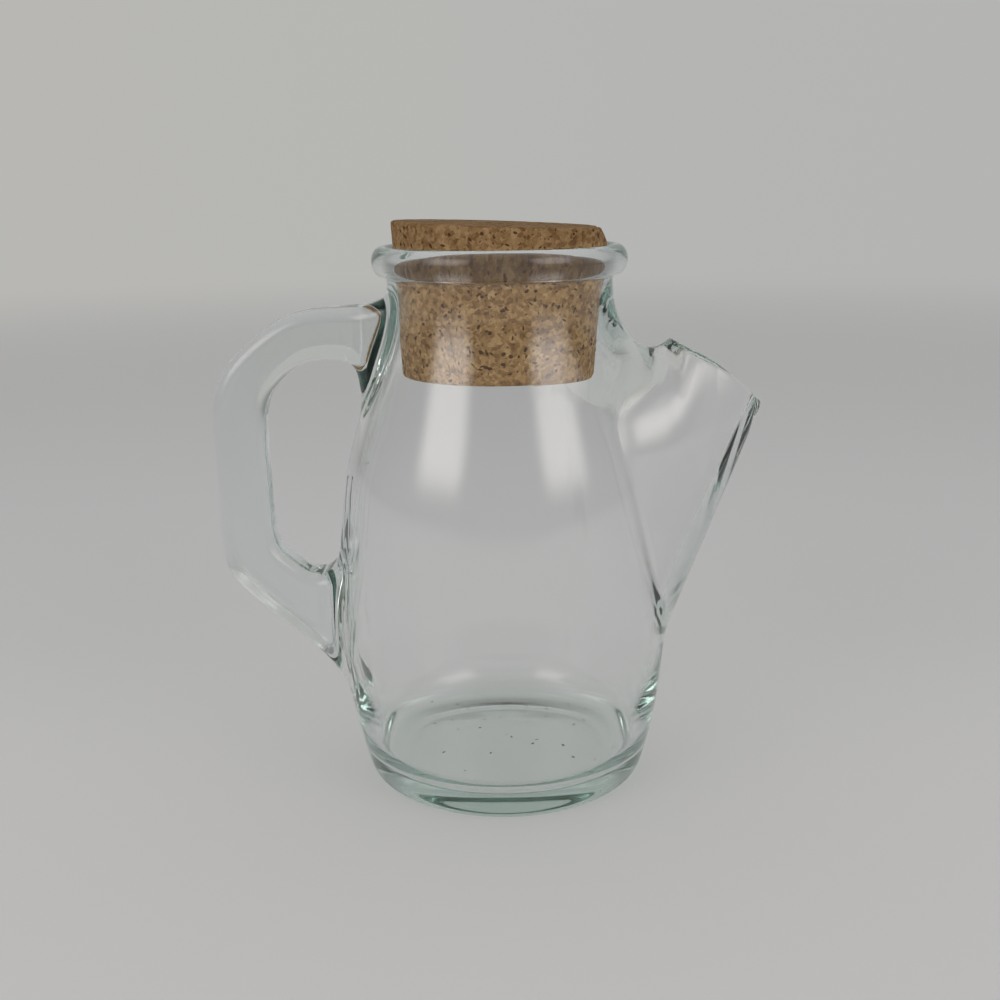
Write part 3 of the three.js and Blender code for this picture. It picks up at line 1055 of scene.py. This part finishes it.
@dataclass
class ChipScatter:
    """Flat chips laid by Geometry Nodes, over a surface's steep faces or on its points."""

    least_mm: tuple[float, float, float]
    most_mm: tuple[float, float, float]
    per_square_metre: float = 0.0
    steepest: float = 0.4
    seed: int = 3

    def group(self) -> Tree:
        """Build the node group; without a density the chips sit on the mesh's own points."""
        group = bpy.data.node_groups.new("chips", "GeometryNodeTree")
        face = group.interface
        for name, kind in (("Geometry", "Geometry"), ("Density", "Float"), ("Least size", "Vector"),
                           ("Most size", "Vector"), ("Seed", "Int"), ("Finish", "Material")):
            face.new_socket(name=name, in_out="INPUT", socket_type=f"NodeSocket{kind}")
        face.new_socket(name="Geometry", in_out="OUTPUT", socket_type="NodeSocketGeometry")
        given = add_node(group, "NodeGroupInput").outputs
        points, turn = given["Geometry"], None
        if self.per_square_metre:
            facing = add_node(group, "GeometryNodeInputNormal").outputs["Normal"]
            way = add_node(group, "ShaderNodeSeparateXYZ", {0: facing})
            steep = arithmetic(group, "ABSOLUTE", way.outputs["Z"])
            side = add_node(group, "FunctionNodeCompare", {0: steep, 1: self.steepest},
                            data_type="FLOAT", operation="LESS_THAN")
            spread = add_node(group, "GeometryNodeDistributePointsOnFaces", {
                "Mesh": given["Geometry"], "Selection": side.outputs["Result"],
                "Density": given["Density"], "Seed": given["Seed"],
            })
            points, turn = spread.outputs["Points"], spread.outputs["Rotation"]
        size = add_node(group, "FunctionNodeRandomValue", {
            0: given["Least size"], 1: given["Most size"], "Seed": given["Seed"],
        }, data_type="FLOAT_VECTOR")
        spin = add_node(group, "FunctionNodeRandomValue", {
            0: (0, 0, 0), 1: (0, 0, 2 * math.pi), "Seed": given["Seed"],
        }, data_type="FLOAT_VECTOR")
        chip = add_node(group, "GeometryNodeMeshIcoSphere", {"Radius": 1.0, "Subdivisions": 1})
        laid = add_node(group, "GeometryNodeInstanceOnPoints", {
            "Points": points, "Instance": chip.outputs["Mesh"], "Scale": size.outputs[0],
        })
        if turn is not None:
            group.links.new(turn, laid.inputs["Rotation"])
        turned = add_node(group, "GeometryNodeRotateInstances", {
            "Instances": laid.outputs["Instances"], "Rotation": spin.outputs[0],
        })
        real = add_node(group, "GeometryNodeRealizeInstances", {0: turned.outputs["Instances"]})
        dressed = add_node(group, "GeometryNodeSetMaterial", {
            "Geometry": real.outputs[0], "Material": given["Finish"],
        })
        add_node(group, "NodeGroupOutput", {0: dressed.outputs[0]})
        return group

    def lay(self, piece: bpy.types.Object, finish: bpy.types.Material) -> None:
        """Turn a piece into the chips laid on its mesh.

        Args:
            piece: An object whose mesh is the ground for the chips.
            finish: The chips' material.
        """
        laying = piece.modifiers.new("chips", "NODES")
        laying.node_group = self.group()
        names = {item.name: item.identifier for item in laying.node_group.interface.items_tree
                 if item.in_out == "INPUT"}
        laying[names["Density"]] = float(self.per_square_metre)
        laying[names["Least size"]] = [v * MM for v in self.least_mm]
        laying[names["Most size"]] = [v * MM for v in self.most_mm]
        laying[names["Seed"]] = self.seed
        laying[names["Finish"]] = finish
        bake_modifiers(piece)


# Pieces

@dataclass
class GlassPitcher:
    """Body, spout and handle of one piece of glass."""

    form: GlassForm = field(default_factory=GlassForm)
    finish: SodaLimeGlass = field(default_factory=SodaLimeGlass)
    cell: float = 0.8
    quick_cell: float = 1.3
    margin: float = 3.0
    triangles: int = 190000

    def build(self) -> bpy.types.Object:
        """Mesh and dress the glass, and let it stand for its CAD node.

        Returns:
            The finished piece.
        """
        low, high = (np.array(corner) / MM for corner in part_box("pitcher"))
        cell = self.cell
        mesher = SurfaceMesher(self.form, low - self.margin, high + self.margin, cell)
        piece = mesher.build("pitcher_glass", self.triangles)
        piece.data.materials.append(self.finish.material())
        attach(piece, "root")
        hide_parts("pitcher")
        return piece


@dataclass
class CorkStopper:
    """Tapered plug of agglomerated cork, cut at a slant on top and worn on one side."""

    bottom_z: float = 125.4
    bottom_radius: float = 29.2
    side_z: float = 168.6
    side_radius: float = 31.45
    left_top_z: float = 170.3
    right_top_z: float = 167.6
    worn: float = 2.6
    worn_slope: float = 1.5
    edge: float = 1.0
    shoulder_drop: float = 0.6
    shoulder_width: float = 0.7
    shoulder_middle: tuple[float, float] = (0.25, 0.35)
    around: int = 256
    disc_rings: int = 26
    edge_rings: int = 5
    side_rings: int = 44
    pits: int = 420
    pits_seed: int = 7
    pits_on_side: float = 0.68
    pit_size: tuple[float, float] = (0.5, 1.5)
    pit_depth: tuple[float, float] = (0.15, 0.5)
    pit_centre_z: float = 148.0
    pit_rise: float = 0.3
    finish: AgglomeratedCork = field(default_factory=AgglomeratedCork)
    chips: ChipScatter = field(default_factory=lambda: ChipScatter(
        (0.25, 0.2, 0.07), (0.95, 0.6, 0.14), per_square_metre=62000))

    def top(self, x: Array | float) -> Array | float:
        """Give the height of the top cut over x, with its worn right-hand edge."""
        share = (x + self.side_radius) / (2 * self.side_radius)
        flat = self.left_top_z + (self.right_top_z - self.left_top_z) * share
        return flat - self.worn_slope * np.maximum(x - (self.side_radius - self.worn), 0)

    def radius(self, share: Array | float) -> Array | float:
        """Give the side's radius at a share of its height."""
        return self.bottom_radius + (self.side_radius - self.bottom_radius) * share

    def profile(self) -> list[tuple[float, float]]:
        """Give the outline from near the middle of the bottom up the side.

        Returns:
            Radii, each with its share of the height up to the shoulder.
        """
        disc_radius = self.bottom_radius - self.edge
        points = [(disc_radius * i / self.disc_rings, 0.0) for i in range(1, self.disc_rings + 1)]
        start = self.edge / (self.side_z - self.bottom_z)
        for i in range(1, self.edge_rings):
            angle = math.pi / 2 * i / self.edge_rings
            points.append((disc_radius + self.edge * math.sin(angle), start * (1 - math.cos(angle))))
        for i in range(self.side_rings + 1):
            share = i / self.side_rings
            points.append((self.radius(share), start + (1 - start) * share))
        return points

    def rings(self) -> list[Array]:
        """Lay rings of points up the side, over the shoulder and in over the top."""
        turn = np.linspace(0, 2 * np.pi, self.around, endpoint=False)
        cos, sin = np.cos(turn), np.sin(turn)
        rings = []
        for radius, share in self.profile():
            x, y = radius * cos, radius * sin
            height = self.top(x) - self.shoulder_drop - self.bottom_z
            rings.append(np.stack([x, y, self.bottom_z + share * height], 1))
        flat_radius = self.side_radius - self.shoulder_width
        inset, rise = self.shoulder_middle
        shoulder = [(self.side_radius - inset, rise)]
        shoulder += [(flat_radius * (1 - i / self.disc_rings), self.shoulder_drop)
                     for i in range(self.disc_rings)]
        for radius, rise in shoulder:
            x, y = radius * cos, radius * sin
            rings.append(np.stack([x, y, self.top(x) - self.shoulder_drop + rise], 1))
        return rings

    def build(self) -> list[bpy.types.Object]:
        """Mesh and dress the cork, and let it stand for its CAD node.

        Returns:
            The finished pieces.
        """
        rings = self.rings()
        points = np.concatenate([[[0, 0, self.bottom_z]], *rings, [[0, 0, self.top(0.0)]]])
        faces = self.faces(len(rings))
        rough = self.roughen(points)
        piece = make_object("cork_stopper", rough, faces)
        piece.data.materials.append(self.finish.material())
        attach(piece, "root")
        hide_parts("stopper")
        return [piece, self.bark(rough, faces)]

    def bark(self, points: Array, faces: list[list[int]]) -> bpy.types.Object:
        """Press dark bark chips into the plug's side."""
        chips = make_object("cork_bark_chips", points, faces)
        self.chips.lay(chips, CorkBark().material())
        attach(chips, "root")
        return chips

    def faces(self, rings: int) -> list[list[int]]:
        """Give the faces of a closed stack of rings between two poles."""
        n = self.around
        last, pole = 1 + (rings - 1) * n, 1 + rings * n
        here = range(n)
        ahead = [(i + 1) % n for i in here]
        faces = [[0, 1 + j, 1 + i] for i, j in zip(here, ahead)]
        for base in range(1, last, n):
            faces += [[base + i, base + j, base + n + j, base + n + i] for i, j in zip(here, ahead)]
        return faces + [[last + i, last + j, pole] for i, j in zip(here, ahead)]

    def roughen(self, points: Array) -> Array:
        """Pit the side and the top.

        Args:
            points: The smooth plug's vertices.

        Returns:
            The vertices with shallow pits.
        """
        rng = np.random.default_rng(self.pits_seed)
        side = rng.random(self.pits) < self.pits_on_side
        angle = rng.uniform(0, 2 * np.pi, self.pits)
        height = rng.uniform(self.bottom_z, self.side_z, self.pits)
        share = (height - self.bottom_z) / (self.side_z - self.bottom_z)
        radius = np.where(side, self.radius(share), self.side_radius * np.sqrt(rng.random(self.pits)))
        x, y = radius * np.cos(angle), radius * np.sin(angle)
        spots = np.stack([x, y, np.where(side, height, self.top(x))], 1)
        sizes = rng.uniform(*self.pit_size, self.pits)
        depths = rng.uniform(*self.pit_depth, self.pits)
        moved = points.copy()
        for spot, size, depth in zip(spots, sizes, depths):
            away = np.linalg.norm(points - spot, axis=1)
            hit = away < 2 * size
            inward = np.array([0, 0, self.pit_centre_z]) - points[hit]
            inward[:, 2] *= self.pit_rise
            inward /= np.linalg.norm(inward, axis=1, keepdims=True)
            moved[hit] += inward * (depth * np.exp(-(away[hit] / size) ** 2))[:, None]
        return moved


@dataclass
class CorkCrumbs:
    """Crumbs of cork that fell through the neck and lie on the glass floor."""

    body: BodyForm = field(default_factory=BodyForm)
    places: tuple[tuple[float, float], ...] = (
        (22.2, 20.6), (6.5, 16.2), (0.3, -3.8), (-15.8, 0.4), (18.2, -10.2), (33.5, -11.4), (13.7, 11.1),
        (-25.8, 24.8),
    )
    dust: int = 24
    dust_seed: int = 11
    reach: float = 33.0
    lift: float = 0.08
    drops: int = 20
    chips: ChipScatter = field(default_factory=lambda: ChipScatter(
        (0.16, 0.1, 0.05), (0.8, 0.36, 0.1), seed=5))

    def build(self) -> bpy.types.Object:
        """Lay the crumbs and finer dust on the floor."""
        rng = np.random.default_rng(self.dust_seed)
        radius = self.reach * np.sqrt(rng.random(self.dust))
        angle = rng.uniform(0, 2 * np.pi, self.dust)
        fine = np.stack([radius * np.cos(angle), radius * np.sin(angle)], 1)
        spots = np.concatenate([np.array(self.places), fine])
        points = np.column_stack([spots, np.full(len(spots), self.body.floor_z)])
        for _ in range(self.drops):
            points[:, 2] += self.body.inner(points)
        points[:, 2] += self.lift
        piece = make_object("cork_crumbs", points, [])
        self.chips.lay(piece, CorkBark().material())
        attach(piece, "root")
        return piece


# Stage

@dataclass(frozen=True)
class SoftWindow:
    """A soft panel light in metres and watts, which stands left or right and faces the object."""

    name: str
    x: float
    width: float
    power: float
    y: float = -1.05
    z: float = 0.8
    height: float = 1.55
    aim_z: float = 0.1
    colour: str = "fdf6f4"
    bright: tuple[float, float] = (0.2, 0.06)

    def hang(self) -> bpy.types.Object:
        """Hang the light."""
        data = bpy.data.lights.new(self.name, "AREA")
        data.shape = "RECTANGLE"
        data.size, data.size_y = self.width, self.height
        data.energy = self.power
        data.color = linear(self.colour)[:3]
        self.soften(data)
        lamp = bpy.data.objects.new(self.name, data)
        lamp.location = self.x, self.y, self.z
        way = Vector((0, 0, self.aim_z)) - lamp.location
        lamp.rotation_euler = way.to_track_quat("-Z", "Y").to_euler()
        bpy.context.scene.collection.objects.link(lamp)
        return lamp

    def soften(self, data: bpy.types.Light) -> None:
        """Fade the panel towards its edges, as a curtained window does."""
        tree = empty_tree(data)
        spot = add_node(tree, "ShaderNodeNewGeometry").outputs["Parametric"]
        half = 0.5
        middle = vector_step(tree, "SUBTRACT", spot, (half, half, 0.0))
        part = add_node(tree, "ShaderNodeSeparateXYZ", {0: vector_step(tree, "ABSOLUTE", middle)}).outputs
        fades = [soft_step(tree, part[axis], (start, half), (1.0, 0.0))
                 for axis, start in zip("XY", self.bright)]
        glow = add_node(tree, "ShaderNodeEmission", {"Strength": arithmetic(tree, "MULTIPLY", *fades)})
        add_node(tree, "ShaderNodeOutputLight", {"Surface": glow.outputs["Emission"]})


@dataclass
class Studio:
    """Pale floor, two tall soft windows, even air and the camera."""

    focal_px: float = 1250.0
    frame_px: float = 1000.0
    shift_px: float = 2.7
    sensor: float = 36.0
    camera_distance: float = 372.6
    camera_height: float = 179.9
    pitch_deg: float = 14.16
    roll_deg: float = 0.79
    floor_radius: float = 2600.0
    floor_z: float = -0.2
    floor_corners: int = 128
    bounces: int = 32
    windows: tuple[SoftWindow, ...] = (
        SoftWindow("left_window", x=-1.2, width=1.5, power=21.0),
        SoftWindow("right_window", x=1.2, width=1.45, power=19.5),
    )

    def floor(self) -> bpy.types.Object:
        """Lay the round floor."""
        turn = np.linspace(0, 2 * np.pi, self.floor_corners, endpoint=False)
        x, y = self.floor_radius * np.cos(turn), self.floor_radius * np.sin(turn)
        rim = np.stack([x, y, np.full(self.floor_corners, self.floor_z)], 1)
        floor = make_object("studio_floor", rim, [list(range(self.floor_corners))])
        floor.data.materials.append(PaleFloor().material())
        return floor

    def lights(self) -> None:
        """Hang the windows and set the air."""
        for window in self.windows:
            window.hang()
        bpy.context.scene.world = StudioAir().world()

    def camera(self) -> None:
        """Stand the camera where the photograph was taken."""
        data = bpy.data.cameras.new("camera")
        data.sensor_width = self.sensor
        data.lens = self.sensor * self.focal_px / self.frame_px
        data.shift_x = -self.shift_px / self.frame_px
        pitch, roll = math.radians(self.pitch_deg), math.radians(self.roll_deg)
        forward = Vector((0, math.cos(pitch), -math.sin(pitch)))
        level_up = Vector((0, math.sin(pitch), math.cos(pitch)))
        level_right = Vector((1, 0, 0))
        right = level_right * math.cos(roll) - level_up * math.sin(roll)
        up = level_right * math.sin(roll) + level_up * math.cos(roll)
        turn = Matrix((right, up, -forward)).transposed()
        camera = bpy.data.objects.new("camera", data)
        place = Vector((0, -self.camera_distance, self.camera_height)) * MM
        camera.matrix_world = Matrix.Translation(place) @ turn.to_4x4()
        bpy.context.scene.collection.objects.link(camera)
        bpy.context.scene.camera = camera

    def build(self) -> None:
        """Set up the whole stage."""
        self.camera()
        self.floor()
        self.lights()
        scene = bpy.context.scene
        scene.view_settings.view_transform = "Standard"
        for kind in ("max", "transmission", "glossy", "transparent_max"):
            setattr(scene.cycles, f"{kind}_bounces", self.bounces)


def main() -> None:
    """Build the stage and the pieces."""
    logging.basicConfig(level=logging.INFO, format="%(name)s: %(message)s")
    Studio().build()
    LOG.info("stage ready")
    for piece in (GlassPitcher().build(), *CorkStopper().build(), CorkCrumbs().build()):
        LOG.info("%s: %d faces", piece.name, len(piece.data.polygons))
    bpy.context.view_layer.update()


if __name__ == "__main__":
    main()
